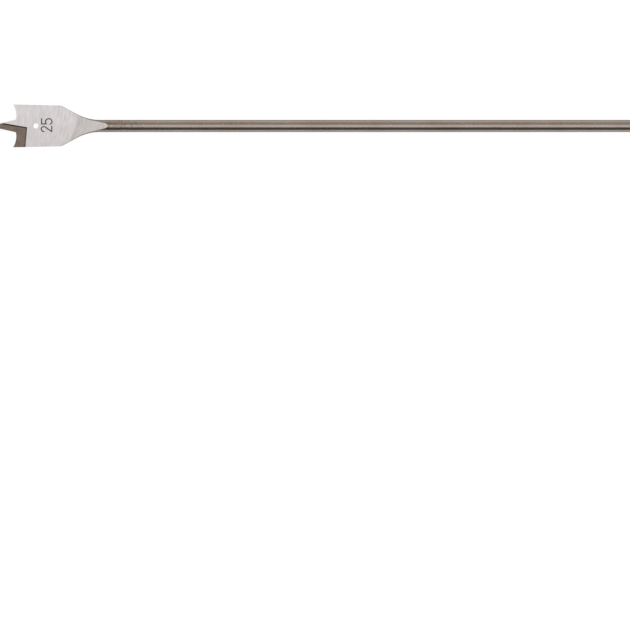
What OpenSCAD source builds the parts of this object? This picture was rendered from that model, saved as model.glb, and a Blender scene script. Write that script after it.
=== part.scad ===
// Long spade bit for wood: one forging with a round shaft, a hexagonal shank and a ground flat blade.
// The drilling axis is X. The shank's end face is at the origin and the tip points to -X.
// The blade lies flat in XY, with its marked front face up. Seen from the shank it cuts clockwise.
// Lengths are in millimetres and angles in degrees.

/* [Overall] */
// Length from the tip of the point to the end of the shank
overall_length = 400; // [150:5:600]
// Diameter of the hole that the spurs cut
bit_d = 25; // [22:0.5:38]

/* [Shaft and shank] */
// Diameter of the round shaft
shaft_d = 7; // [6.5:0.1:9]
// Width across the flats of the hexagonal shank
hex_af = 6.35; // [5.5:0.05:6.45]
// Length of the hexagon at its full depth
hex_length = 23; // [12:0.5:40]
// Radius of the wheel that grinds the hexagon and rounds its run-out
hex_wheel_r = 10; // [4:0.5:30]
// Length of the 45 degree chamfer on the shank's end
end_chamfer = 0.8; // [0.2:0.1:1.5]

/* [Blade] */
// Thickness between the two ground faces
blade_t = 3.4; // [2.4:0.1:4.5]
// Length of the wings from the spur tips to the shoulders
wing_length = 27.9; // [22:0.1:45]
// Angle by which each side falls back from the spurs to the shoulders
back_taper = 1.2; // [0:0.1:3]
// Angle of the shoulders to the drilling axis
shoulder_angle = 28.5; // [20:0.5:40]
// Radius that rounds the shoulders
shoulder_round = 2; // [1:0.5:8]
// Radius of the blend from the shoulders into the shaft
neck_r = 28; // [15:1:45]
// How far the flat of each face runs on past the shoulders
flat_run = 6.7; // [3:0.1:12]
// Radius of the wheel that grinds the faces and runs out on the shaft
face_wheel_r = 120; // [60:5:160]

/* [Cutting end] */
// Included angle of the point
point_angle = 25.7; // [20:0.1:36]
// How far the tip stands ahead of the spurs
point_length = 13.8; // [11:0.1:20]
// How far the spurs stand ahead of the deepest place on the lips
spur_height = 1.9; // [1:0.1:2.5]
// Distance of that deepest place from the drilling axis
lip_low_r = 6; // [5:0.1:6.5]
// Radius in the root between the lip and the point
root_r = 0.8; // [0.3:0.1:1.5]
// Clearance angle behind the lips
lip_clearance = 12; // [6:1:18]
// Clearance angle behind the edges of the point
point_clearance = 8; // [3:1:12]

/* [Chip recess] */
// Depth of the recess below the ground face
recess_depth = 0.6; // [0.3:0.05:0.9]
// Distance from the deepest place on the lip to the recess's inner corner
recess_length = 6.4; // [3:0.1:9]
// Distance of the inner corner from the drilling axis
recess_corner = 0.8; // [0:0.1:2]
// Angle of the long side wall to the drilling axis
side_wall_angle = 9.8; // [6:0.2:14]
// Lean of the rear wall from square across the blade
rear_wall_lean = 4.8; // [0:0.2:10]
// Slope of the side wall
side_wall_slope = 45; // [35:1:80]
// Slope of the rear wall
rear_wall_slope = 36; // [30:1:80]

/* [Pull hole] */
// Diameter of the hole through the blade
hole_d = 3; // [2:0.1:5]
// Distance from the spur tips back to the centre of the hole
hole_back = 13.25; // [10:0.25:20]

/* [Hidden] */
steel = [0.72, 0.70, 0.69];
$fn = 72;
// Segments on each rounded stretch of the outlines
arc_steps = 16;
// How far cutting shapes stand past what they cut
past = 1;

bit_r = bit_d / 2;
shaft_r = shaft_d / 2;
half_t = blade_t / 2;

// Places along the drilling axis
tip_x = -overall_length;
spur_x = tip_x + point_length;
low_x = spur_x + spur_height;
shoulder_x = spur_x + wing_length;
flat_end_x = shoulder_x + flat_run;
recess_x = low_x + recess_length;
hole_x = spur_x + hole_back;

// The side line of the wings meets the shoulder line at shoulder_r, and that meets the shaft at neck_x
shoulder_r = bit_r - wing_length * tan(back_taper);
tip_line_r = bit_r + point_length * tan(back_taper);
neck_x = shoulder_x + (shoulder_r - shaft_r) / tan(shoulder_angle);

// Each lip is an arc through the spur tip, with its deepest place at lip_low_r
lip_reach = bit_r - lip_low_r;
lip_r = (lip_reach * lip_reach + spur_height * spur_height) / (2 * spur_height);

// The cutting edges lie on the recess floors, at edge_level from the middle plane of the blade.
// Their clearance faces move in by flank_shift for each millimetre across the blade and meet at the tip,
// so the edges themselves aim at a place just ahead of it
edge_level = half_t - recess_depth;
half_point = point_angle / 2;
flank_shift = tan(point_clearance) / cos(lip_clearance);
aim_ahead = edge_level * (tan(lip_clearance) + flank_shift / tan(half_point));

// Length that clears the whole blade from any place on it
reach = 2 * (bit_d + point_length);

// Point on a circle round c at an angle
function on_circle(c, r, a) = c + r * [cos(a), sin(a)];

// Points along a circular arc
function arc(c, r, a0, a1) =
    [for (i = [0 : arc_steps]) on_circle(c, r, a0 + (a1 - a0) * i / arc_steps)];

// Angle of a plane vector
function heading(v) = atan2(v.y, v.x);

// Where a point of the cutting edge's plan, measured from the tip, lies on its cutter's slanted section
function on_slant(p) = [
    p.x * cos(lip_clearance),
    p.y * cos(point_clearance) + p.x * sin(lip_clearance) * sin(point_clearance)
];

// Plan of what is cut away ahead of the upper wing, measured from the tip: along the flank of the point,
// round the root, along the lip to the spur and on past it, and back far ahead of the tip
function cutting_edge_plan() =
    let (
        along = [cos(half_point), sin(half_point)],
        across = [-sin(half_point), cos(half_point)],
        start = [-aim_ahead, 0] - past * along,
        lip_c = [low_x - tip_x - lip_r, lip_low_r],
        q = start + root_r * across - lip_c,
        run = -q * along + sqrt(pow(q * along, 2) - q * q + pow(lip_r - root_r, 2)),
        root_c = start + run * along + root_r * across,
        root_end = heading(root_c - lip_c),
        spur_end = asin(lip_reach / lip_r)
    )
    concat(
        [start],
        arc(root_c, root_r, half_point - 90, root_end),
        arc(lip_c, lip_r, root_end, spur_end),
        [on_circle([spur_x - tip_x, bit_r], reach, spur_end + 90), [-reach, start.y]]
    );

// Half outline of the turned blank: radius against place along the axis
module turning_profile() {
    turn_in = (shoulder_angle - back_taper) / 2;
    shoulder_c = on_circle([shoulder_r, shoulder_x], -shoulder_round / cos(turn_in), back_taper + turn_in);
    blend_c = [shaft_r + neck_r, neck_x + neck_r * tan(shoulder_angle / 2)];
    polygon(concat(
        [[0, tip_x], [tip_line_r, tip_x]],
        arc(shoulder_c, shoulder_round, back_taper, shoulder_angle),
        arc(blend_c, neck_r, 180 + shoulder_angle, 180),
        [[shaft_r, -end_chamfer], [shaft_r - end_chamfer, 0], [0, 0]]
    ));
}

// Blank of revolution from which the bit is ground
module blank() {
    rotate([0, 90, 0])
        rotate_extrude()
            turning_profile();
}

// What a wheel takes off above a flat: level up to x_end, then rising with the wheel's own radius
module wheel_pass(level, x_start, x_end, wheel_r, width) {
    translate([0, width / 2, 0])
        rotate([90, 0, 0])
            linear_extrude(height = width) {
                translate([x_start, level])
                    square([x_end - x_start, wheel_r]);
                translate([x_end, level + wheel_r])
                    circle(r = wheel_r);
            }
}

// Both ground faces of the blade
module face_grinding() {
    for (turn = [0, 180])
        rotate([turn, 0, 0])
            wheel_pass(half_t, tip_x - past, flat_end_x, face_wheel_r, bit_d + 4 * past);
}

// Six flats of the shank
module hex_grinding() {
    for (turn = [0 : 60 : 300])
        rotate([turn, 0, 0])
            mirror([1, 0, 0])
                wheel_pass(hex_af / 2, -past, hex_length, hex_wheel_r, shaft_d);
}

// One side of the recess: everything to -X of a sloping wall and above the floor
module recess_side(slope) {
    top = past / tan(slope);
    foot = -recess_depth / tan(slope);
    translate([0, reach, half_t])
        rotate([90, 0, 0])
            linear_extrude(height = 2 * reach)
                polygon([[top, past], [foot, -recess_depth], [-reach, -recess_depth], [-reach, past]]);
}

// Chip recess in the front of the lower wing and of the point
module chip_recess() {
    translate([recess_x, -recess_corner, 0])
        intersection() {
            rotate([0, 0, 90 - side_wall_angle])
                recess_side(side_wall_slope);
            rotate([0, 0, -rear_wall_lean])
                recess_side(rear_wall_slope);
        }
}

// What is cut away ahead of the upper wing, whose cutting edge lies on the floor of the back recess
module cutting_edge() {
    translate([tip_x, 0, -edge_level])
        rotate([point_clearance, lip_clearance, 0])
            translate([0, 0, -reach])
                linear_extrude(height = 2 * reach)
                    polygon([for (p = cutting_edge_plan()) on_slant(p)]);
}

module pull_hole() {
    translate([hole_x, 0, 0])
        cylinder(h = blade_t + 2 * past, d = hole_d, center = true);
}

module spade_bit() {
    color(steel)
        difference() {
            blank();
            face_grinding();
            hex_grinding();
            for (turn = [0, 180])
                rotate([turn, 0, 0]) {
                    cutting_edge();
                    chip_recess();
                }
            pull_hole();
        }
}

spade_bit();
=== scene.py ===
"""Looks of a long spade bit: a bright cross-ground blade on a brown tempered shaft.

The bit is one forging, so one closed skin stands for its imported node. Lengths are in metres and lie in
the frame's axes: the drilling axis is X, the tip points to -X and the blade's marked face looks up.
"""

import math
from functools import reduce

import bmesh
import bpy
import numpy as np
from bpy.props import FloatProperty, FloatVectorProperty, PointerProperty
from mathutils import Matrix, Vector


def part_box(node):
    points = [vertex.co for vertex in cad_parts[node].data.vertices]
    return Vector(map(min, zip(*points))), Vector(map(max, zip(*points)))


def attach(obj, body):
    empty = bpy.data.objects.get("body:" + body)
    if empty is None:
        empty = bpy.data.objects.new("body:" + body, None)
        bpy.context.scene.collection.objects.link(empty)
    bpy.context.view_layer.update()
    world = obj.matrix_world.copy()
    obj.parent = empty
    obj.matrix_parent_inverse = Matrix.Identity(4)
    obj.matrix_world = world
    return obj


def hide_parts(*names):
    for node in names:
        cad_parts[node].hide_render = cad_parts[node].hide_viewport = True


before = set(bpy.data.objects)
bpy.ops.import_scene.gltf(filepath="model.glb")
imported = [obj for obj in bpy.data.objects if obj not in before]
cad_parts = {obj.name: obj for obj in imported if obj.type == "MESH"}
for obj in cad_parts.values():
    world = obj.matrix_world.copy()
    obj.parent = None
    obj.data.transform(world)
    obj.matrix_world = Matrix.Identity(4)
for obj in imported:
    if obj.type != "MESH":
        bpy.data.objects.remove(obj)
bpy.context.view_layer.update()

bl_info = {
    "name": "Long spade bit",
    "version": (1, 0, 0),
    "blender": (4, 5, 0),
    "location": "View3D > Sidebar > Spade Bit",
    "description": "Builds the skin, size mark and studio of a long spade bit round its packed frame",
    "category": "Add Mesh",
}

NODE = "spade_bit"
LOW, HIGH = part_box(NODE)

# Half a turn about the drilling axis brings the bit onto itself
HALF_TURN = np.array([1.0, -1.0, -1.0])

# Cells along each stretch of the skin's grids
FLANK_CELLS = (8, 6, 10)
ROOT_CELLS = 12
LIP_CELLS = 26
FLOOR_CELLS = 14
WALL_CELLS = 6
BEHIND_CELLS = 6
HOLE_CELLS = 24
HOLE_WALL_CELLS = 6
RING_CELLS = 14
BLADE_CELLS = 26
RUN_OUT_CELLS = 44
SHAFT_CELLS = 44
SIDE_CELLS = 36
HEX_FLAT_CELLS = 8
HEX_ARC_CELLS = 12
HEX_RUN_OUT_CELLS = 12
HEX_CELLS = 8
CHAMFER_CELLS = 3
END_CELLS = 7

# Powers that draw the cells closer together towards one end of a stretch
FLOOR_BUNCHING = 1.5
RING_BUNCHING = 1.4
RUN_OUT_BUNCHING = 1.6
HEX_BUNCHING = 2

# How far the cutting end's sheet runs on past the recess's inner corner
SHEET_MARGIN = 0.0007
# How far past the spur, in radians on the lip's circle, its end is looked for
SPUR_MARGIN = 0.1
# Steps in which a place found by trial settles
TRIALS = 60
# Decimal places of a metre at which grids are welded
WELD_PLACES = 7
# Shares and lengths below this count as none
TINY = 1e-9

# Angles above which the faces of the skin and of the mark meet in a sharp edge
SKIN_SHARP = math.radians(9.0)
MARK_SHARP = math.radians(30.0)

# How far the digits' round strokes pass their height, as a share of it
OVERSHOOT = 0.02

# Ranges that most values of a coarse and of a soft noise fill
COARSE = (0.3, 0.7)
SOFT = (0.35, 0.65)

WHITE = (1.0, 1.0, 1.0)

# Finishes in the order of the skin's material slots
GROUND_FACE, GROUND_EDGE, TEMPERED, FORGED, SHADED_WALL = range(5)


def distance(name, description, default, least=0.0):
    """Property for a length in metres."""
    return FloatProperty(
        name=name, description=description, default=default, min=least, precision=5,
        subtype="DISTANCE", unit="LENGTH",
    )


def angle(name, description, degrees):
    """Property for an angle, given here in degrees."""
    return FloatProperty(
        name=name, description=description, default=math.radians(degrees),
        subtype="ANGLE", unit="ROTATION",
    )


def colour(name, description, default):
    """Property for a linear colour."""
    return FloatVectorProperty(
        name=name, description=description, default=default, size=3, min=0.0, max=1.0, subtype="COLOR",
    )


def factor(name, description, default):
    """Property for a share from 0 to 1."""
    return FloatProperty(
        name=name, description=description, default=default, min=0.0, max=1.0, subtype="FACTOR",
    )


def power(name, description, default):
    """Property for a lamp's power in watts."""
    return FloatProperty(
        name=name, description=description, default=default, min=0.0, subtype="POWER", unit="POWER",
    )


class SPADEBIT_PG_blade(bpy.types.PropertyGroup):
    """Sizes of the blade and of its run-out on the shaft"""

    diameter: distance("Cutting diameter", "Diameter of the hole that the spurs cut", 0.025)
    thickness: distance("Thickness", "Thickness between the two ground faces", 0.0034)
    wing_length: distance("Wing length", "Length from the spur tips to the shoulders", 0.0279)
    back_taper: angle("Back taper", "Angle by which each side falls back to the shoulders", 1.2)
    shoulder_angle: angle("Shoulder angle", "Angle of the shoulders to the drilling axis", 28.5)
    shoulder_round: distance("Shoulder round", "Radius that rounds the shoulders", 0.002)
    neck_radius: distance("Neck radius", "Radius of the blend from the shoulders into the shaft", 0.028)
    flat_run: distance("Flat run", "How far the flat of each face runs on past the shoulders", 0.0067)
    wheel_radius: distance("Wheel radius", "Radius of the wheel that runs out on the shaft", 0.120)
    hole_diameter: distance("Pull hole", "Diameter of the hole through the blade", 0.003)
    hole_back: distance("Pull hole place", "Distance from the spur tips back to the hole", 0.01325)


class SPADEBIT_PG_edge(bpy.types.PropertyGroup):
    """Sizes of the point, the spurs and the lips"""

    point_angle: angle("Point angle", "Included angle of the point", 25.7)
    point_length: distance("Point length", "How far the tip stands ahead of the spurs", 0.0138)
    spur_height: distance("Spur height", "How far the spurs stand ahead of the lips", 0.0019)
    lip_low_radius: distance("Lip low place", "Distance of the lips' deepest place from the axis", 0.006)
    root_radius: distance("Root radius", "Radius in the root between the lip and the point", 0.0008)
    lip_clearance: angle("Lip clearance", "Clearance angle behind the lips", 12.0)
    point_clearance: angle("Point clearance", "Clearance angle behind the point's edges", 8.0)


class SPADEBIT_PG_recess(bpy.types.PropertyGroup):
    """Sizes of the chip recesses"""

    depth: distance("Depth", "Depth of the recess below the ground face", 0.0006)
    length: distance("Length", "Distance from the lip's deepest place to the inner corner", 0.0064)
    corner: distance("Inner corner", "Distance of the inner corner from the drilling axis", 0.0008)
    side_angle: angle("Side wall angle", "Angle of the long side wall to the drilling axis", 9.8)
    rear_lean: angle("Rear wall lean", "Lean of the rear wall from square across the blade", 4.8)
    side_slope: angle("Side wall slope", "Slope of the side wall", 45.0)
    rear_slope: angle("Rear wall slope", "Slope of the rear wall", 36.0)
    foot_blend: distance("Foot blend", "Height of the blend at the foot of the walls", 0.00012)


class SPADEBIT_PG_shank(bpy.types.PropertyGroup):
    """Sizes of the drive shank"""

    across_flats: distance("Across flats", "Width across the flats of the hexagon", 0.00635)
    hex_length: distance("Hexagon length", "Length of the hexagon at its full depth", 0.023)
    wheel_radius: distance("Wheel radius", "Radius of the wheel that rounds the hexagon's run-out", 0.010)
    end_chamfer: distance("End chamfer", "Length of the chamfer on the shank's end", 0.0008)


class SPADEBIT_PG_mark(bpy.types.PropertyGroup):
    """Sizes and place of the size number on the front face"""

    height: distance("Height", "Height of the digits", 0.00662)
    stroke: distance("Stroke", "Width of the digits' strokes", 0.00071)
    foot: distance("Foot", "Distance of the digits' feet from the spur tips", 0.0229)
    two_start: distance("Start of the two", "Place of the two's -Y side", -0.00365, least=-1.0)
    five_start: distance("Start of the five", "Place of the five's -Y side", 0.00058, least=-1.0)
    lift: distance("Lift", "How far the mark stands on the face", 0.000012)


class SPADEBIT_PG_finish(bpy.types.PropertyGroup):
    """Colours of the steel's finishes"""

    ground: colour("Ground steel", "Colour of the cross-ground faces", (0.66, 0.63, 0.63))
    edge: colour("Edge steel", "Colour of the ground lips, flanks and sides", (0.62, 0.60, 0.59))
    tempered: colour("Tempered skin", "Colour of the brown skin on the shaft", (0.40, 0.345, 0.31))
    forged: colour("Forged skin", "Colour of the darker skin in the chip recesses", (0.212, 0.167, 0.139))
    # Painted shade: a dark colour on the recesses' side walls that stands for the shade on them.
    scaled: colour("Shaded side wall", "Colour of the shade painted on the recesses' side walls", (0.075, 0.06, 0.05))
    mark: colour("Size mark", "Colour of the burnt size number", (0.155, 0.121, 0.106))


class SPADEBIT_PG_stage(bpy.types.PropertyGroup):
    """Camera, floor and lights"""

    lens: FloatProperty(
        name="Lens", description="Focal length of the camera in millimetres", default=400.0, min=1.0,
        subtype="DISTANCE_CAMERA", unit="CAMERA",
    )
    camera_place: FloatVectorProperty(
        name="Camera place", description="Place of the camera, which looks straight down",
        default=(-0.21059, -0.10997, 4.0715), size=3, precision=5, subtype="TRANSLATION", unit="LENGTH",
    )
    floor_size: distance("Floor size", "Length of each side of the floor", 12.0)
    overhead_power: power("Overhead power", "Power of the soft box over the blade", 86.3)
    side_power: power("Side power", "Power of the warm panel at the +Y side", 23.5)
    side_colour: colour("Side colour", "Colour of the panel at the +Y side", (1.0, 0.88, 0.75))
    surround: factor("Room sides", "Brightness of the room's dim side walls", 0.11)
    ends: factor("Room ends", "Brightness of the room's end walls", 0.55)
    floor_colour: colour("Floor", "Colour of the floor that takes the shadow", (0.35, 0.35, 0.35))
    backdrop: factor("Backdrop", "Brightness that the floor adds where it is seen or mirrored", 0.85)


class SPADEBIT_PG_settings(bpy.types.PropertyGroup):
    """All settings of the spade bit"""

    blade: PointerProperty(type=SPADEBIT_PG_blade, name="Blade")
    edge: PointerProperty(type=SPADEBIT_PG_edge, name="Cutting end")
    recess: PointerProperty(type=SPADEBIT_PG_recess, name="Chip recess")
    shank: PointerProperty(type=SPADEBIT_PG_shank, name="Shank")
    mark: PointerProperty(type=SPADEBIT_PG_mark, name="Size mark")
    finish: PointerProperty(type=SPADEBIT_PG_finish, name="Finishes")
    stage: PointerProperty(type=SPADEBIT_PG_stage, name="Stage")


def shares(cells):
    """Even steps from 0 to 1 over a number of cells."""
    return np.linspace(0, 1, cells + 1)


def direction(turn):
    """Unit vectors in the plan at angles from the first axis."""
    return np.stack([np.cos(turn), np.sin(turn)], axis=-1)


class BitForm:
    """Outlines of the bit in metres: s runs from the tip along the drilling axis, y across and z up."""

    def __init__(self, settings):
        blade, edge, recess, shank = settings.blade, settings.edge, settings.recess, settings.shank

        # Main sizes
        self.length = HIGH[0] - LOW[0]
        self.shaft_r = (HIGH[2] - LOW[2]) / 2
        self.bit_r = blade.diameter / 2
        self.half_t = blade.thickness / 2
        self.taper = math.tan(blade.back_taper)
        self.slant = math.tan(blade.shoulder_angle)

        # Places along the drilling axis
        self.spur_s = edge.point_length
        self.low_s = self.spur_s + edge.spur_height
        self.shoulder_s = self.spur_s + blade.wing_length
        self.flat_s = self.shoulder_s + blade.flat_run
        self.hole_s = self.spur_s + blade.hole_back
        self.hole_r = blade.hole_diameter / 2

        # Rounded shoulder and the neck's blend into the shaft
        self.shoulder_r = self.bit_r - blade.wing_length * self.taper
        turn_in = (blade.shoulder_angle - blade.back_taper) / 2
        reach = blade.shoulder_round / math.cos(turn_in)
        self.round_r = blade.shoulder_round
        middle = blade.back_taper + turn_in
        self.round_c = (
            self.shoulder_s - reach * math.sin(middle), self.shoulder_r - reach * math.cos(middle),
        )
        self.round_ends = (
            self.round_c[0] + self.round_r * math.sin(blade.back_taper),
            self.round_c[0] + self.round_r * math.sin(blade.shoulder_angle),
        )
        self.neck_r = blade.neck_radius
        corner_s = self.shoulder_s + (self.shoulder_r - self.shaft_r) / self.slant
        self.neck_end = corner_s + self.neck_r * math.tan(blade.shoulder_angle / 2)
        self.neck_start = self.neck_end - self.neck_r * math.sin(blade.shoulder_angle)

        # Run-out of the face wheel, which leaves the shaft at the nose
        self.wheel_r = blade.wheel_radius
        drop = self.wheel_r - (self.shaft_r - self.half_t)
        self.nose_s = self.flat_s + math.sqrt(self.wheel_r ** 2 - drop ** 2)

        # Cutting edge: flank, root and lip, which lean with the clearance as they rise
        self.edge_level = self.half_t - recess.depth
        half_point = edge.point_angle / 2
        self.flank_rise = math.tan(half_point)
        self.lean = np.array([
            math.tan(edge.lip_clearance),
            -math.tan(edge.point_clearance) / math.cos(edge.lip_clearance),
        ])
        self.aim = self.edge_level * (self.lean[0] - self.lean[1] / self.flank_rise)
        lip_reach = self.bit_r - edge.lip_low_radius
        self.lip_r = (lip_reach ** 2 + edge.spur_height ** 2) / (2 * edge.spur_height)
        self.lip_c = np.array([self.low_s - self.lip_r, edge.lip_low_radius])
        self.spur_end = math.asin(lip_reach / self.lip_r)
        self.root_r = edge.root_radius
        along = direction(half_point)
        across = np.array([-along[1], along[0]])
        offset = np.array([-self.aim, 0.0]) + self.root_r * across - self.lip_c
        run = -offset @ along + math.sqrt(
            (offset @ along) ** 2 - offset @ offset + (self.lip_r - self.root_r) ** 2
        )
        self.root_c = self.lip_c + offset + run * along
        self.root_s = -self.aim + run * along[0]
        self.root_start = half_point - math.pi / 2
        self.root_end = math.atan2(self.root_c[1] - self.lip_c[1], self.root_c[0] - self.lip_c[0])

        # Recess: its inner corner, and its side wall and rear wall in that order
        self.depth = recess.depth
        self.corner = np.array([self.low_s + recess.length, -recess.corner])
        self.wall_normals = np.array([
            [math.sin(recess.side_angle), math.cos(recess.side_angle)],
            [math.cos(recess.rear_lean), -math.sin(recess.rear_lean)],
        ])
        self.wall_slopes = np.tan([recess.side_slope, recess.rear_slope])
        self.foot_blend = recess.foot_blend

        # Shank: the hexagon, the run-out of its wheel and the chamfered end
        self.hex_a = shank.across_flats / 2
        self.hex_s = self.length - shank.hex_length
        self.hex_wheel = shank.wheel_radius
        hex_drop = self.hex_wheel - (self.shaft_r - self.hex_a)
        self.hex_start = self.hex_s - math.sqrt(self.hex_wheel ** 2 - hex_drop ** 2)
        self.end_r = self.shaft_r - shank.end_chamfer

    def turned_radius(self, s):
        """Radius of the turned blank: tapered sides, rounded shoulders, sloping neck, blend and shaft."""
        s = np.asarray(s, dtype=float)
        side = self.bit_r - (s - self.spur_s) * self.taper
        off_round = s - self.round_c[0]
        turn = self.round_c[1] + np.sqrt(np.maximum(self.round_r ** 2 - off_round ** 2, 0))
        slope = self.shoulder_r - (s - self.shoulder_s) * self.slant
        gap = np.minimum(np.abs(self.neck_end - s), self.neck_r)
        blend = self.shaft_r + self.neck_r - np.sqrt(self.neck_r ** 2 - gap ** 2)
        return np.select(
            [s < self.round_ends[0], s < self.round_ends[1], s < self.neck_start, s < self.neck_end],
            [side, turn, slope, blend],
            default=self.shaft_r,
        )

    def face_height(self, s):
        """Height of the ground face: level, then on the wheel's circle until it leaves the shaft."""
        gap = np.clip(np.asarray(s, dtype=float) - self.flat_s, 0, self.nose_s - self.flat_s)
        height = self.half_t + self.wheel_r - np.sqrt(self.wheel_r ** 2 - gap ** 2)
        return np.minimum(height, self.shaft_r)

    def half_width(self, s):
        """Half the width of the ground face, where its height cuts the turned radius."""
        return np.sqrt(np.maximum(self.turned_radius(s) ** 2 - self.face_height(s) ** 2, 0))

    def wall_distances(self, plan):
        """Signed distances of plan points from the tops of the side wall and the rear wall."""
        return (plan - self.corner) @ self.wall_normals.T

    def recess_height(self, plan):
        """Height of the front face: the higher wall plane, blended into the floor, cut by the flat."""
        wall = (self.half_t + self.wall_distances(plan) * self.wall_slopes).max(axis=-1)
        near_foot = np.maximum(self.foot_blend - np.abs(wall - self.edge_level), 0)
        blend = near_foot ** 2 / (4 * self.foot_blend)
        return np.minimum(np.maximum(wall, self.edge_level) + blend, self.half_t)

    def flank_place(self, height, gap):
        """Where the point's flank, at a height, meets the side wall at a distance from its top."""
        shift = (height + self.edge_level) * self.lean
        normal = self.wall_normals[0]
        at_zero = np.array([0.0, self.aim * self.flank_rise]) + shift - self.corner
        return (gap - normal @ at_zero) / (normal[0] + normal[1] * self.flank_rise)

    def lip_plan(self, turn):
        """Plan of the lip by its angle on the hollow's circle, running on straight past the spur."""
        bent = np.minimum(turn, self.spur_end)
        ahead = np.stack([-np.sin(bent), np.cos(bent)], axis=-1)
        return self.lip_c + self.lip_r * (direction(bent) + (turn - bent)[..., None] * ahead)

    def spur_turn(self, height):
        """Angle on the hollow at which the lip's face leaves the turned side, found by halving."""
        height = np.asarray(height, dtype=float)
        low = np.full(height.shape, self.root_end)
        high = np.full(height.shape, self.spur_end + SPUR_MARGIN)
        for _ in range(TRIALS):
            middle = (low + high) / 2
            plan = self.lip_plan(middle) + (height + self.edge_level)[..., None] * self.lean
            inside = plan[..., 1] ** 2 + height ** 2 < self.turned_radius(plan[..., 0]) ** 2
            low = np.where(inside, middle, low)
            high = np.where(inside, high, middle)
        return (low + high) / 2

    def edge_plan(self, lip_end):
        """Plan of the cutting edge from tip to spur: straight flank, round root and hollow lip."""
        wall_foot = self.flank_place(self.edge_level, -self.depth / self.wall_slopes[0])
        wall_top = self.flank_place(self.half_t, 0.0)
        stops = (0.0, wall_foot, wall_top, self.root_s)
        s = np.concatenate([
            np.linspace(start, end, cells + 1)[:-1]
            for start, end, cells in zip(stops[:-1], stops[1:], FLANK_CELLS)
        ])
        flank = np.stack([s, (s + self.aim) * self.flank_rise], axis=-1)
        turn = np.linspace(self.root_start, self.root_end, ROOT_CELLS + 1)[:-1]
        root = self.root_c + self.root_r * direction(turn)
        lip = self.lip_plan(np.linspace(self.root_end, float(lip_end), LIP_CELLS + 1))
        return np.concatenate([flank, root, lip])


class Skin:
    """Grids of one closed surface, welded where they meet."""

    def __init__(self):
        self.points = []
        self.quads = []
        self.finishes = []
        self.count = 0

    def add(self, grid, finish, body=0):
        """Adds a grid of points as quads, with one finish or one for each cell.

        Grids of different bodies aren't welded together.
        """
        rows, columns = grid.shape[:2]
        index = self.count + np.arange(rows * columns).reshape(rows, columns)
        quads = np.stack([index[:-1, :-1], index[1:, :-1], index[1:, 1:], index[:-1, 1:]], axis=-1)
        bodies = np.full(rows * columns, float(body))
        self.points.append(np.column_stack([grid.reshape(-1, 3), bodies]))
        self.quads.append(quads.reshape(-1, 4))
        self.finishes.append(np.broadcast_to(finish, (rows - 1, columns - 1)).reshape(-1))
        self.count += rows * columns

    def add_pair(self, grid, finish):
        """Adds a grid and its copy turned half round the drilling axis."""
        self.add(grid, finish)
        self.add(grid * HALF_TURN, finish)

    def welded(self):
        """Points rounded and merged, with collapsed quads made triangles or dropped."""
        keys = np.round(np.concatenate(self.points), WELD_PLACES)
        points, where = np.unique(keys, axis=0, return_inverse=True)
        quads = where.reshape(-1)[np.concatenate(self.quads)]
        finishes = np.concatenate(self.finishes)
        same = quads == np.roll(quads, -1, axis=1)
        crossed = (quads[:, 0] == quads[:, 2]) | (quads[:, 1] == quads[:, 3])
        whole = (same.sum(axis=1) == 0) & ~crossed
        three = (same.sum(axis=1) == 1) & ~crossed
        triangles = quads[three][~same[three]].reshape(-1, 3)
        faces = quads[whole].tolist() + triangles.tolist()
        return points[:, :3], faces, np.concatenate([finishes[whole], finishes[three]])


def ease(value):
    """Smooth step from 0 to 1."""
    value = np.clip(value, 0, 1)
    return value * value * (3 - 2 * value)


def front_sheet(form, end_s):
    """Front face of the cutting end, from the cutting edges back to a straight line across the blade.

    Columns run from points of the edges to points of that line. Along each one the rows stop at the foot
    and at the top of the recess's walls, and their height is that of the recess.
    """
    lead = form.edge_plan(form.spur_turn(-form.edge_level))
    trail_base = form.edge_plan(form.spur_turn(form.half_t))
    height = np.full(len(trail_base), form.half_t)
    for _ in range(TRIALS):
        trail = trail_base + (height + form.edge_level)[:, None] * form.lean
        height = form.recess_height(trail)
    start = np.concatenate([lead[::-1] * [1, -1], trail])
    middle = (lead[:, 1] + trail[:, 1]) / 2
    middle = middle * form.half_width(end_s) / middle[-1]
    end_y = np.concatenate([-middle[::-1], middle])
    end = np.stack([np.full(len(end_y), end_s), end_y], axis=-1)

    first = form.wall_distances(start)
    gain = form.wall_distances(end) - first
    inside = (first < -TINY).all(axis=-1)
    beyond = 2.0

    def reach(level):
        """Share of each column at which it comes to a level of each wall, or one beyond its end."""
        return np.where(gain > TINY, (level - first) / np.maximum(gain, TINY), beyond)

    side_first = inside & (np.diff(reach(0.0))[:, 0] > 0)
    top = np.clip(reach(0.0).min(axis=-1), 0, 1)
    foot = reach(-form.depth / form.wall_slopes - form.foot_blend / form.wall_slopes)
    foot = np.clip(foot.min(axis=-1), 0, 1)
    last = np.flatnonzero(inside)[-1] + 1
    spread = ease((np.arange(len(start)) - last) / (len(start) - 1 - last))
    foot = np.where(inside, foot, foot[0] * spread)
    top = np.where(inside, top, top[0] * spread)

    floor = foot * (1 - (1 - shares(FLOOR_CELLS)) ** FLOOR_BUNCHING)[:-1, None]
    wall = foot + (top - foot) * shares(WALL_CELLS)[:-1, None]
    behind = top + (1 - top) * shares(BEHIND_CELLS)[:, None]
    share = np.concatenate([floor, wall, behind])
    plan = start + share[..., None] * (end - start)
    z = form.recess_height(plan)
    y = plan[..., 1]
    rim = np.sqrt(form.turned_radius(plan[..., 0]) ** 2 - z ** 2)
    y[:, 0] = -rim[:, 0]
    y[:, -1] = rim[:, -1]
    sheet = np.stack([plan[..., 0], y, z], axis=-1)
    finish = np.full((len(share) - 1, len(start) - 1), GROUND_FACE)
    finish[:FLOOR_CELLS + WALL_CELLS, inside[:-1]] = FORGED
    # Painted shade: the side walls get the darker finish that stands for their shade.
    finish[FLOOR_CELLS:FLOOR_CELLS + WALL_CELLS, side_first[:-1]] = SHADED_WALL
    return sheet, finish, end_y


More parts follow.
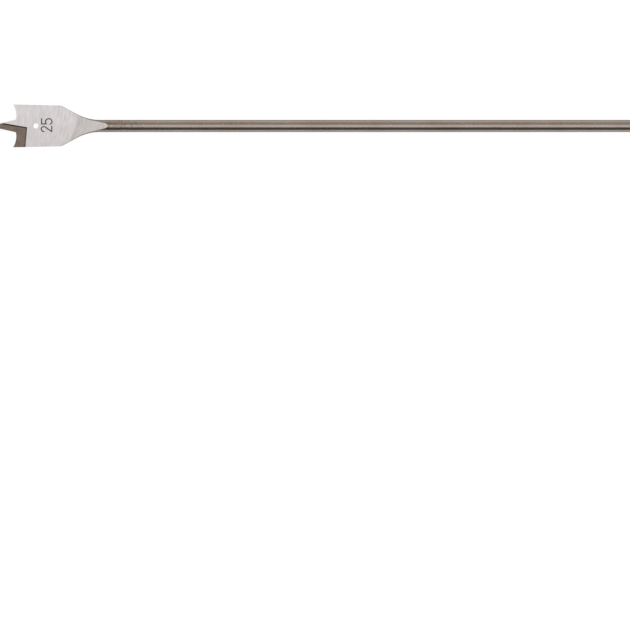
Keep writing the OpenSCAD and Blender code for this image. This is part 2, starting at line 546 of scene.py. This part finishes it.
def spur_curve(form):
    """Outer end of the lip's clearance face, on the turned side from the front face to the edge."""
    z = np.linspace(form.half_t, -form.edge_level, SIDE_CELLS + 1)
    plan = form.lip_plan(form.spur_turn(z)) + (z + form.edge_level)[:, None] * form.lean
    return np.column_stack([plan, z])


def round_side(form, s_top, z_top, s_low, z_low):
    """Turned side between two edges: angle and place run evenly from one to the other."""
    share = shares(SIDE_CELLS)
    top = np.arcsin(np.clip(z_top / form.turned_radius(s_top), -1, 1))
    low = np.arcsin(np.clip(z_low / form.turned_radius(s_low), -1, 1))
    turn = top[:, None] + (low - top)[:, None] * share
    s = s_top[:, None] + (s_low - s_top)[:, None] * share
    radius = form.turned_radius(s)
    return np.stack([s, radius * np.cos(turn), radius * np.sin(turn)], axis=-1)


def clearance_face(sheet, rim):
    """Clearance faces of the upper lip and flank: straight lines between the front and back edges.

    The first row shrinks to the front end of the chisel edge, and the last row is the spur's curve.
    """
    half = sheet.shape[1] // 2
    front = sheet[0, half:]
    back = (sheet[0, :half] * HALF_TURN)[::-1]
    share = shares(SIDE_CELLS)[:, None]
    lines = front[:, None] + (back - front)[:, None] * share
    lines[-1] = rim
    chisel = np.broadcast_to(sheet[0, half - 1], (1, SIDE_CELLS + 1, 3))
    return np.concatenate([chisel, lines])


def face_sheet(form, s, end_y, end_s):
    """Ground face behind the cutting end: the columns keep their share of the width as it changes."""
    y = (form.half_width(s) / form.half_width(end_s))[:, None] * end_y
    z = form.face_height(s)
    return np.stack(np.broadcast_arrays(s[:, None], y, z[:, None]), axis=-1)


def hole_sheets(form, block):
    """Face round the pull hole, as rays from its rim to a block's border, and the hole's wall."""
    border = np.concatenate([
        block[0, :-1], block[:-1, -1], block[-1, :0:-1], block[:0:-1, 0], block[:1, 0],
    ])
    centre = np.array([form.hole_s, 0.0, form.half_t])
    ray = border - centre
    rim = centre + form.hole_r * ray / np.linalg.norm(ray, axis=1, keepdims=True)
    share = shares(RING_CELLS)[:, None, None] ** RING_BUNCHING
    around = rim + (border - rim) * share
    level = np.linspace(1, -1, HOLE_WALL_CELLS + 1)[:, None, None]
    wall = rim * np.array([1, 1, 0]) + level * np.array([0, 0, form.half_t])
    return around, wall


def hex_sheet(form):
    """Shank: six flats that start at the wheel's run-out, the round corners left between them, the
    chamfer that cuts both, and the end face. Rings run round the axis from the front face's side.
    """
    run = form.hex_start + (form.hex_s - form.hex_start) * shares(HEX_RUN_OUT_CELLS) ** HEX_BUNCHING
    gap = form.hex_s - run
    flat = form.hex_a + form.hex_wheel - np.sqrt(form.hex_wheel ** 2 - gap ** 2)
    flat = np.minimum(flat, form.shaft_r)
    half = np.arccos(np.clip(flat / form.shaft_r, -1, 1))
    along = np.linspace(-1, 1, HEX_FLAT_CELLS + 1)[:-1]
    across = (form.shaft_r * np.sin(half))[:, None] * along
    flat_turn = np.arctan2(across, flat[:, None])
    flat_radius = np.hypot(across, flat[:, None])
    arc_turn = half[:, None] + (math.pi / 3 - 2 * half)[:, None] * shares(HEX_ARC_CELLS)[:-1]
    turn = np.concatenate([flat_turn, arc_turn], axis=1)
    radius = np.concatenate([flat_radius, np.full(arc_turn.shape, form.shaft_r)], axis=1)
    sectors = np.arange(6)[:, None] * math.pi / 3
    turn = (turn[:, None, :] + sectors).reshape(len(run), -1)
    radius = np.tile(radius, 6)
    s = np.broadcast_to(run[:, None], turn.shape)

    last = form.length - (radius[-1] - form.end_r)
    body_s = form.hex_s + (last - form.hex_s) * shares(HEX_CELLS)[1:, None]
    body_r = np.tile(radius[-1], (HEX_CELLS, 1))
    share = shares(CHAMFER_CELLS)[1:, None]
    bevel_s = last + (form.length - last) * share
    bevel_r = radius[-1] + (form.end_r - radius[-1]) * share
    end_s = np.full((END_CELLS, len(last)), form.length)
    end_r = np.broadcast_to(form.end_r * np.linspace(1, 0, END_CELLS + 1)[1:, None], end_s.shape)
    s = np.concatenate([s, body_s, bevel_s, end_s])
    radius = np.concatenate([radius, body_r, bevel_r, end_r])
    turn = np.concatenate([turn, np.tile(turn[-1], (len(s) - len(turn), 1))])
    rings = np.stack([s, radius * np.sin(turn), radius * np.cos(turn)], axis=-1)
    return np.concatenate([rings, rings[:, :1]], axis=1)


def bit_skin(form):
    """All grids of the bit, from the cutting end to the shank's end."""
    skin = Skin()
    end_s = form.corner[0] + SHEET_MARGIN
    sheet, finish, end_y = front_sheet(form, end_s)
    skin.add_pair(sheet, finish)
    rim = spur_curve(form)
    low = sheet[:, 0] * HALF_TURN
    side = round_side(form, sheet[:, -1, 0], sheet[:, -1, 2], low[:, 0], low[:, 2])
    side[0] = rim
    skin.add_pair(side, GROUND_EDGE)
    skin.add_pair(clearance_face(sheet, rim), GROUND_EDGE)

    hole_end = 2 * form.hole_s - end_s
    s = np.linspace(end_s, hole_end, HOLE_CELLS + 1)
    face = face_sheet(form, s, end_y, end_s)
    skin.add_pair(face[:, :LIP_CELLS + 1], GROUND_FACE)
    skin.add_pair(face[:, -LIP_CELLS - 1:], GROUND_FACE)
    around, wall = hole_sheets(form, face[:, LIP_CELLS:-LIP_CELLS])
    skin.add_pair(around, GROUND_FACE)
    skin.add(wall, GROUND_EDGE)

    blade = np.linspace(hole_end, form.flat_s, BLADE_CELLS + 1)
    run = 1 - (1 - shares(RUN_OUT_CELLS)[1:]) ** RUN_OUT_BUNCHING
    run_out = form.flat_s + (form.nose_s - form.flat_s) * run
    behind = np.concatenate([blade, run_out])
    skin.add_pair(face_sheet(form, behind, end_y, end_s), GROUND_FACE)

    shaft = np.linspace(form.nose_s, form.hex_start, SHAFT_CELLS + 1)[1:]
    s = np.concatenate([s, behind[1:], shaft])
    z = form.face_height(s)
    finish = np.where(s[:-1] < form.shoulder_s, GROUND_EDGE, TEMPERED)[:, None]
    skin.add_pair(round_side(form, s, z, s, -z), finish)
    skin.add(hex_sheet(form), TEMPERED)
    return skin


def stroke(path, half_width, levels, cut_start=None, cut_end=None):
    """Flat bar along a plan path: the path moved half a width to each side, between two levels.

    Each end is cut square, or along a given direction. The section is carried round as a closed ring
    and each end shrinks to the middle of its section.
    """
    path = np.asarray(path, dtype=float)
    heading = np.gradient(path, axis=0)
    heading /= np.linalg.norm(heading, axis=1, keepdims=True)
    aside = np.stack([-heading[:, 1], heading[:, 0]], axis=-1)
    offset = aside * half_width
    for place, cut in ((0, cut_start), (-1, cut_end)):
        if cut is not None:
            offset[place] = np.asarray(cut) * half_width / (np.asarray(cut) @ aside[place])
    low, high = levels
    left = path + offset
    right = path - offset
    corners = ((left, low), (left, high), (right, high), (right, low))
    section = [np.column_stack([side, np.full(len(path), level)]) for side, level in corners]
    ring = np.stack(section + section[:1], axis=1)
    start, end = (
        np.broadcast_to(ring[place, :-1].mean(axis=0), (1, *ring.shape[1:])) for place in (0, -1)
    )
    return np.concatenate([start, ring, end])


def arc_path(centre, radii, start, end, steps=40):
    """Points of an elliptical arc between two angles in degrees."""
    return centre + np.multiply(radii, direction(np.radians(np.linspace(start, end, steps + 1))))


def line_path(start, end, steps=8):
    """Points of a straight line."""
    return start + shares(steps)[:, None] * np.subtract(end, start)


def two_strokes(height, width):
    """Bars of a two: an arc that stands a little above the height and runs straight to the foot bar.

    Lengths are shares of the height, and the arc goes from its hook to where it runs straight.
    """
    hook, straight = 196, -35
    half = width / 2
    outer = 0.27 * height
    radius = outer - half
    bow = arc_path((outer, (1 + OVERSHOOT) * height - outer), (radius, radius), hook, straight)
    heading = np.array([math.sin(math.radians(straight)), -math.cos(math.radians(straight))])
    foot = bow[-1] + heading * (width - bow[-1, 1]) / heading[1]
    body = np.concatenate([bow, line_path(bow[-1], foot, steps=12)[1:]])
    bar = line_path((0.0, half), (2 * outer, half))
    return [(body, None, (1.0, 0.0)), (bar, None, None)]


def five_strokes(height, width):
    """Bars of a five: a head bar, a short stem and a bowl that reaches a little below the foot.

    Lengths are shares of the height. The head bar starts just ahead of the stem's side, so that the two
    share no edge, and the bowl goes from the stem's side to its open end.
    """
    open_end = -166
    half = width / 2
    wide = 0.5925 * height
    stem = 0.03 * height + half
    head_start = 0.027 * height
    stem_foot = 0.49 * height
    radii = (0.43 * wide, 0.288 * height)
    centre = (wide - half - radii[0], 0.318 * height)
    head = line_path((head_start, height - half), (wide, height - half))
    post = line_path((stem, height - width), (stem, stem_foot))
    turn = math.degrees(math.acos((stem + half - centre[0]) / radii[0]))
    bowl = arc_path(centre, radii, turn, open_end, steps=60)
    return [(head, None, None), (post, (1.0, 0.0), (1.0, 0.0)), (bowl, (0.0, 1.0), None)]


def add_object(name, data):
    """New object at the origin, in the scene."""
    item = bpy.data.objects.new(name, data)
    bpy.context.scene.collection.objects.link(item)
    return item


def mesh_object(name, points, faces, finishes, materials, sharp_angle):
    """Closed mesh object with outward normals, smooth where its faces meet at less than an angle."""
    mesh = bpy.data.meshes.new(name)
    mesh.from_pydata(points.tolist(), [], faces)
    work = bmesh.new()
    work.from_mesh(mesh)
    bmesh.ops.recalc_face_normals(work, faces=work.faces[:])
    open_edges = sum(not edge.is_manifold for edge in work.edges)
    work.to_mesh(mesh)
    work.free()
    if open_edges:
        raise RuntimeError(f"{name} has {open_edges} open edges")
    for material in materials:
        mesh.materials.append(material)
    mesh.polygons.foreach_set("material_index", np.asarray(finishes, dtype=np.int32))
    mesh.polygons.foreach_set("use_smooth", np.ones(len(mesh.polygons), dtype=bool))
    mesh.set_sharp_from_angle(angle=sharp_angle)
    mesh.update()
    return add_object(name, mesh)


def add_node(tree, kind, inputs=None, **attributes):
    """New shader node with its attributes set and its inputs linked or set."""
    item = tree.nodes.new("ShaderNode" + kind)
    for key, value in attributes.items():
        setattr(item, key, value)
    for key, value in (inputs or {}).items():
        if isinstance(value, bpy.types.NodeSocket):
            tree.links.new(value, item.inputs[key])
        else:
            item.inputs[key].default_value = value
    return item


def calculate(tree, operation, first, second=0.0):
    """Output of a math node."""
    return add_node(tree, "Math", {0: first, 1: second}, operation=operation).outputs[0]


def product(tree, *factors):
    """Product of outputs and numbers."""
    return reduce(lambda first, second: calculate(tree, "MULTIPLY", first, second), factors)


def weighted_sum(tree, *terms):
    """Sum of outputs, each times its weight."""
    parts = [product(tree, value, weight) for value, weight in terms]
    return reduce(lambda first, second: calculate(tree, "ADD", first, second), parts)


def remap(tree, value, source, target, smooth=False):
    """Value moved from one range to another and held at its ends."""
    inputs = {0: value, 1: source[0], 2: source[1], 3: target[0], 4: target[1]}
    kind = "SMOOTHSTEP" if smooth else "LINEAR"
    return add_node(tree, "MapRange", inputs, interpolation_type=kind, clamp=True).outputs[0]


def noise(tree, place, scale, detail, roughness=0.5):
    """Noise at a place, with about as many cells to the metre as its scale."""
    inputs = {"Vector": place, "Scale": scale, "Detail": detail, "Roughness": roughness}
    return add_node(tree, "TexNoise", inputs).outputs["Fac"]


def grain(tree, parts, detail, roughness):
    """Noise over three parts: each is a coordinate with its own scale, or the number of a layer."""
    scaled = [product(tree, *part) if isinstance(part, tuple) else part for part in parts]
    place = add_node(tree, "CombineXYZ", dict(enumerate(scaled))).outputs[0]
    return noise(tree, place, 1.0, detail, roughness)


def blend_colours(tree, share, first, second, mode="MIX"):
    """Mix of two colours by a share."""
    first, second = (
        value if isinstance(value, bpy.types.NodeSocket) else (*value, 1.0) for value in (first, second)
    )
    inputs = {0: share, 6: first, 7: second}
    return add_node(tree, "Mix", inputs, data_type="RGBA", blend_type=mode).outputs[2]


def two_tone(tree, rgb, value, spread, first, second):
    """Colour that follows a value through its spread, from one tint to another.

    A tint is a share of the colour, or one share for each channel.
    """
    share = remap(tree, value, spread, (0.0, 1.0))
    return blend_colours(tree, share, np.multiply(rgb, first), np.multiply(rgb, second))


def dimmed(tree, tone, level):
    """Colour times a level."""
    grey = add_node(tree, "CombineColor", {0: level, 1: level, 2: level}).outputs[0]
    return blend_colours(tree, 1.0, tone, grey, "MULTIPLY")


class SteelFinish:
    """New material with its shader and its object coordinates."""

    def __init__(self, name):
        self.material = bpy.data.materials.new(name)
        self.material.use_nodes = True
        self.tree = self.material.node_tree
        self.shader = self.tree.nodes["Principled BSDF"]
        self.place = add_node(self.tree, "TexCoord").outputs["Object"]
        self.axes = add_node(self.tree, "SeparateXYZ", {0: self.place}).outputs

    def dress(self, tone, roughness, height, depth, strength, metallic=1.0, edge_tint=None):
        """Links colour, roughness and bump to the shader, and sets what is the same all over."""
        inputs = {"Height": height, "Distance": depth, "Strength": strength}
        bump = add_node(self.tree, "Bump", inputs).outputs[0]
        for key, output in (("Base Color", tone), ("Roughness", roughness), ("Normal", bump)):
            self.tree.links.new(output, self.shader.inputs[key])
        self.shader.inputs["Metallic"].default_value = metallic
        if edge_tint:
            self.shader.inputs["Specular Tint"].default_value = (*edge_tint, 1.0)
        return self.material


def ground_face_finish(rgb, form):
    """Cross-ground steel: fine lines across the blade that bow towards the shoulders.

    The lines are noise stretched along the grinding, at three widths, with streaks of warmer and cooler
    grey. A line's bow is the squared distance from its crest over twice its radius. The face is a little
    brighter towards its +Y side, which is painted light, and darker in a rim along that side, which is
    painted shade of an edge that rolls off. Past one such bowed line the run-out is darker and warmer,
    and
    it brightens again towards the nose: painted reflection of the run-out's curve.
    """
    finish = SteelFinish("cross_ground_steel")
    tree = finish.tree
    x, y = finish.axes[0], finish.axes[1]
    spur_x = LOW[0] + form.spur_s
    flat_x = LOW[0] + form.flat_s
    crest_y = 0.0066
    bow_radius = 0.0286
    painted_rim_shade_width = 0.0022
    sides = (-0.012, 0.012)
    bow_starts = (flat_x - 0.028, flat_x - 0.002)
    cut_deepens = (flat_x - 0.026, flat_x - 0.008)
    painted_band_starts = (flat_x + 0.0013, flat_x + 0.0037)
    painted_band_fades = (flat_x + 0.0028, flat_x + 0.0138)

    off_crest = calculate(tree, "SUBTRACT", y, crest_y)
    bow = calculate(tree, "DIVIDE", product(tree, off_crest, off_crest), 2.0 * bow_radius)
    bowed = remap(tree, x, bow_starts, (0.0, 1.0), smooth=True)
    across = calculate(tree, "ADD", x, product(tree, bowed, bow))
    hair = grain(tree, ((across, 3100.0), (y, 130.0), 0.0), detail=3.0, roughness=0.6)
    fine = grain(tree, ((across, 1050.0), (y, 210.0), 5.0), detail=3.0, roughness=0.6)
    broad = grain(tree, ((across, 430.0), (y, 60.0), 9.0), detail=1.0, roughness=0.6)
    lines = weighted_sum(tree, (hair, 0.3), (broad, 0.2), (fine, 0.5))
    depth = remap(tree, x, cut_deepens, (0.75, 1.25), smooth=True)
    cut = product(tree, calculate(tree, "SUBTRACT", lines, 0.5), depth)
    shade = remap(tree, cut, (-0.2, 0.2), (0.84, 1.16))
    streak = grain(tree, ((across, 620.0), (y, 110.0), 14.0), detail=2.0, roughness=0.5)
    tint = two_tone(tree, rgb, streak, (0.36, 0.64), (1.0, 0.9915, 0.974), (0.995, 0.9935, 1.01))

    # Painted light: the face is painted a little brighter towards its +Y side.
    slope = remap(tree, y, sides, (0.945, 1.015))
    # Painted shade: a rim along the +Y edge is darker, standing for the shade of an edge that rolls off.
    tapered = product(tree, calculate(tree, "SUBTRACT", x, spur_x), form.taper)
    inside = calculate(tree, "SUBTRACT", form.bit_r, calculate(tree, "ADD", tapered, y))
    rim = remap(tree, inside, (0.0, painted_rim_shade_width), (0.945, 1.0), smooth=True)

    # Painted reflection: past a bowed line the run-out is darker and warmer, and brightens again towards
    # the nose.
    past = calculate(tree, "ADD", x, bow)
    second = remap(tree, past, painted_band_starts, (0.0, 1.0), smooth=True)
    drop = remap(tree, past, painted_band_fades, (0.17, 0.09))
    run_out = calculate(tree, "SUBTRACT", 1.0, product(tree, second, drop))
    warm = blend_colours(tree, second, WHITE, (1.0, 0.98, 0.945))
    toned = blend_colours(tree, 1.0, tint, warm, "MULTIPLY")
    tone = dimmed(tree, toned, product(tree, shade, slope, rim, run_out))
    roughness = remap(tree, lines, COARSE, (0.37, 0.27))
    return finish.dress(tone, roughness, lines, depth=0.00003, strength=0.22)


def ground_edge_finish(rgb):
    """Ground lips, flanks and sides: short lines along the drilling axis."""
    finish = SteelFinish("ground_edge_steel")
    tree = finish.tree
    x, y, z = finish.axes
    lines = grain(tree, ((x, 160.0), (y, 900.0), (z, 2600.0)), detail=3.0, roughness=0.6)
    tone = two_tone(tree, rgb, lines, COARSE, 0.86, 1.06)
    roughness = remap(tree, lines, COARSE, (0.38, 0.28))
    return finish.dress(tone, roughness, lines, depth=0.00003, strength=0.2)


def tempered_finish(rgb):
    """Brown tempered skin: drawing streaks along the shaft, with fine specks and slow clouds of colour.

    Near the blade it is darker and mottled by the forging, up to a place given from the tip.
    """
    finish = SteelFinish("tempered_skin")
    tree = finish.tree
    x, y, z = finish.axes
    mottle_end = (LOW[0] + 0.083, LOW[0] + 0.092)
    streaks = grain(tree, ((x, 45.0), (y, 1500.0), (z, 1500.0)), detail=4.0, roughness=0.6)
    specks = noise(tree, finish.place, scale=1500.0, detail=3.0, roughness=0.65)
    cloud = noise(tree, finish.place, scale=60.0, detail=2.0)
    mottle = noise(tree, finish.place, scale=1000.0, detail=1.0)
    tone = two_tone(tree, rgb, cloud, SOFT, (0.95, 0.93, 0.90), (1.03, 1.04, 1.06))
    mixed = weighted_sum(tree, (streaks, 0.6), (specks, 0.4))
    forged = remap(tree, x, mottle_end, (1.0, 0.0), smooth=True)
    loss = product(tree, remap(tree, mottle, (0.4, 0.6), (0.28, 0.0)), forged)
    kept = calculate(tree, "SUBTRACT", 1.0, loss)
    tone = dimmed(tree, tone, product(tree, remap(tree, mixed, SOFT, (0.93, 1.06)), kept))
    roughness = remap(tree, specks, COARSE, (0.20, 0.28))
    brown = (0.10, 0.08, 0.06)
    return finish.dress(tone, roughness, mixed, depth=0.00003, strength=0.09, edge_tint=brown)


def forged_finish(name, rgb):
    """Dark skin left by forging: uneven, dull and finely pitted."""
    finish = SteelFinish(name)
    tree = finish.tree
    pits = noise(tree, finish.place, scale=1100.0, detail=4.0, roughness=0.6)
    cloud = noise(tree, finish.place, scale=240.0, detail=2.0)
    tone = two_tone(tree, rgb, cloud, SOFT, 0.92, 1.08)
    tone = dimmed(tree, tone, remap(tree, pits, COARSE, (0.86, 1.12)))
    roughness = remap(tree, pits, COARSE, (0.46, 0.36))
    brown = (0.5, 0.42, 0.36)
    return finish.dress(tone, roughness, pits, depth=0.00004, strength=0.3, edge_tint=brown)


def mark_finish(rgb):
    """Burnt size mark: matt brown grey, a little uneven."""
    finish = SteelFinish("burnt_mark")
    tree = finish.tree
    grit = noise(tree, finish.place, scale=2600.0, detail=3.0, roughness=0.6)
    tone = two_tone(tree, rgb, grit, COARSE, 0.82, 1.18)
    roughness = remap(tree, grit, COARSE, (0.5, 0.62))
    return finish.dress(tone, roughness, grit, depth=0.00002, strength=0.2, metallic=0.6)


def empty_tree(block):
    """Node tree of a new material or world, with its nodes taken out."""
    block.use_nodes = True
    block.node_tree.nodes.clear()
    return block.node_tree


def floor_finish(rgb, brightness):
    """Pale floor that takes the object's shadow, and is white where it is seen or mirrored."""
    material = bpy.data.materials.new("pale_floor")
    tree = empty_tree(material)
    rays = add_node(tree, "LightPath").outputs
    seen = calculate(tree, "ADD", rays["Is Camera Ray"], rays["Is Glossy Ray"])
    seen = calculate(tree, "ADD", seen, rays["Is Transmission Ray"])
    shown = product(tree, calculate(tree, "MINIMUM", seen, 1.0), brightness)
    matt = add_node(tree, "BsdfDiffuse", {"Color": (*rgb, 1.0)})
    glow = add_node(tree, "Emission", {"Color": (*WHITE, 1.0), "Strength": shown})
    both = add_node(tree, "AddShader", {0: matt.outputs[0], 1: glow.outputs[0]})
    add_node(tree, "OutputMaterial", {"Surface": both.outputs[0]})
    return material


def studio_room(surround, ends):
    """World of a long room: its walls are white where they meet the floor, and above that dim along the
    sides and brighter at the ends. The height of the ray's direction and its part along X tell these
    apart.
    """
    end_part = (0.45, 0.75)
    foot_height = (0.046, 0.062)
    world = bpy.data.worlds.new("studio_room")
    tree = empty_tree(world)
    ray = add_node(tree, "TexCoord").outputs["Generated"]
    parts = add_node(tree, "SeparateXYZ", {0: ray}).outputs
    wall = remap(tree, calculate(tree, "ABSOLUTE", parts["X"]), end_part, (surround, ends), smooth=True)
    foot = remap(tree, parts["Z"], foot_height, (1.0, 0.0), smooth=True)
    strength = calculate(tree, "MAXIMUM", wall, foot)
    back = add_node(tree, "Background", {"Color": (*WHITE, 1.0), "Strength": strength})
    add_node(tree, "OutputWorld", {"Surface": back.outputs[0]})
    bpy.context.scene.world = world


def soft_box(name, place, tilt, size, watts, rgb):
    """Rectangular area light that looks down, tilted about X by an angle in degrees."""
    light = bpy.data.lights.new(name, "AREA")
    light.shape = "RECTANGLE"
    light.size, light.size_y = size
    light.energy = watts
    light.color = rgb
    lamp = add_object(name, light)
    lamp.location = place
    lamp.rotation_euler = (math.radians(tilt), 0.0, 0.0)


class SPADEBIT_OT_skin(bpy.types.Operator):
    """Build the bit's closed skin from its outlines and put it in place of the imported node"""

    bl_idname = "mesh.spade_bit_skin"
    bl_label = "Build Bit"

    def execute(self, context):
        settings = context.scene.spade_bit
        form = BitForm(settings)
        points, faces, finishes = bit_skin(form).welded()
        points = points + [LOW[0], 0.0, 0.0]
        finish = settings.finish
        materials = [
            ground_face_finish(finish.ground, form),
            ground_edge_finish(finish.edge),
            tempered_finish(finish.tempered),
            forged_finish("forged_skin", finish.forged),
            # Painted shade: the recesses' side walls, darker than the forged skin.
            forged_finish("shaded_side_wall", finish.scaled),
        ]
        piece = mesh_object("bit_skin", points, faces, finishes, materials, SKIN_SHARP)
        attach(piece, "root")
        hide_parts(NODE)
        return {"FINISHED"}


class SPADEBIT_OT_mark(bpy.types.Operator):
    """Put the size number on the front face, reading across the blade"""

    bl_idname = "mesh.spade_bit_mark"
    bl_label = "Add Size Mark"

    def execute(self, context):
        settings = context.scene.spade_bit
        form = BitForm(settings)
        mark = settings.mark
        levels = (form.half_t - 2 * mark.lift, form.half_t + mark.lift)
        foot_x = LOW[0] + form.spur_s + mark.foot
        skin = Skin()
        digits = ((mark.two_start, two_strokes), (mark.five_start, five_strokes))
        bars = [
            (start, *bar) for start, strokes in digits for bar in strokes(mark.height, mark.stroke)
        ]
        for body, (start, path, cut_start, cut_end) in enumerate(bars):
            bar = stroke(path, mark.stroke / 2, levels, cut_start, cut_end)
            placed = np.stack([foot_x - bar[..., 1], start + bar[..., 0], bar[..., 2]], axis=-1)
            skin.add(placed, 0, body)
        points, faces, finishes = skin.welded()
        materials = [mark_finish(settings.finish.mark)]
        piece = mesh_object("size_mark", points, faces, finishes, materials, MARK_SHARP)
        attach(piece, "root")
        return {"FINISHED"}


class SPADEBIT_OT_stage(bpy.types.Operator):
    """Set up the floor, the lights and the camera that looks straight down"""

    bl_idname = "scene.spade_bit_stage"
    bl_label = "Set Up Stage"

    def execute(self, context):
        stage = context.scene.spade_bit.stage
        half = stage.floor_size / 2
        plan = ((-half, -half), (half, -half), (half, half), (-half, half))
        corners = [(x, y, LOW[2]) for x, y in plan]
        mesh = bpy.data.meshes.new("floor")
        mesh.from_pydata(corners, [], [(0, 1, 2, 3)])
        mesh.materials.append(floor_finish(stage.floor_colour, stage.backdrop))
        floor = add_object("floor", mesh)

        studio_room(stage.surround, stage.ends)
        middle = (LOW[0] + HIGH[0]) / 2
        soft_box(
            "overhead_box", place=(middle, -0.083, 4.6), tilt=0.0, size=(6.13, 4.604),
            watts=stage.overhead_power, rgb=WHITE,
        )
        soft_box(
            "side_panel", place=(middle, 2.6, 1.5), tilt=-75.0, size=(5.0, 2.6),
            watts=stage.side_power, rgb=stage.side_colour,
        )

        lens = bpy.data.cameras.new("camera")
        lens.lens = stage.lens
        lens.sensor_width = 36.0
        camera = add_object("camera", lens)
        camera.location = stage.camera_place
        context.scene.camera = camera
        context.scene.view_settings.view_transform = "Standard"
        return {"FINISHED"}


class SPADEBIT_PT_sidebar(bpy.types.Panel):
    """Settings and steps of the spade bit"""

    bl_idname = "SPADEBIT_PT_sidebar"
    bl_label = "Spade Bit"
    bl_space_type = "VIEW_3D"
    bl_region_type = "UI"
    bl_category = "Spade Bit"

    def draw(self, context):
        settings = context.scene.spade_bit
        for group in settings.__annotations__:
            box = self.layout.box()
            part = getattr(settings, group)
            box.label(text=settings.bl_rna.properties[group].name)
            for key in part.__annotations__:
                box.prop(part, key)
        for step in (SPADEBIT_OT_skin, SPADEBIT_OT_mark, SPADEBIT_OT_stage):
            self.layout.operator(step.bl_idname)


CLASSES = (
    SPADEBIT_PG_blade,
    SPADEBIT_PG_edge,
    SPADEBIT_PG_recess,
    SPADEBIT_PG_shank,
    SPADEBIT_PG_mark,
    SPADEBIT_PG_finish,
    SPADEBIT_PG_stage,
    SPADEBIT_PG_settings,
    SPADEBIT_OT_skin,
    SPADEBIT_OT_mark,
    SPADEBIT_OT_stage,
    SPADEBIT_PT_sidebar,
)


def register():
    """Registers the classes and the settings on the scene."""
    for item in CLASSES:
        bpy.utils.register_class(item)
    bpy.types.Scene.spade_bit = PointerProperty(type=SPADEBIT_PG_settings)


def unregister():
    """Takes the settings and the classes away again."""
    del bpy.types.Scene.spade_bit
    for item in reversed(CLASSES):
        bpy.utils.unregister_class(item)


def main():
    """Builds the bit, its mark and the stage."""
    register()
    bpy.ops.mesh.spade_bit_skin()
    bpy.ops.mesh.spade_bit_mark()
    bpy.ops.scene.spade_bit_stage()


if __name__ == "__main__":
    main()
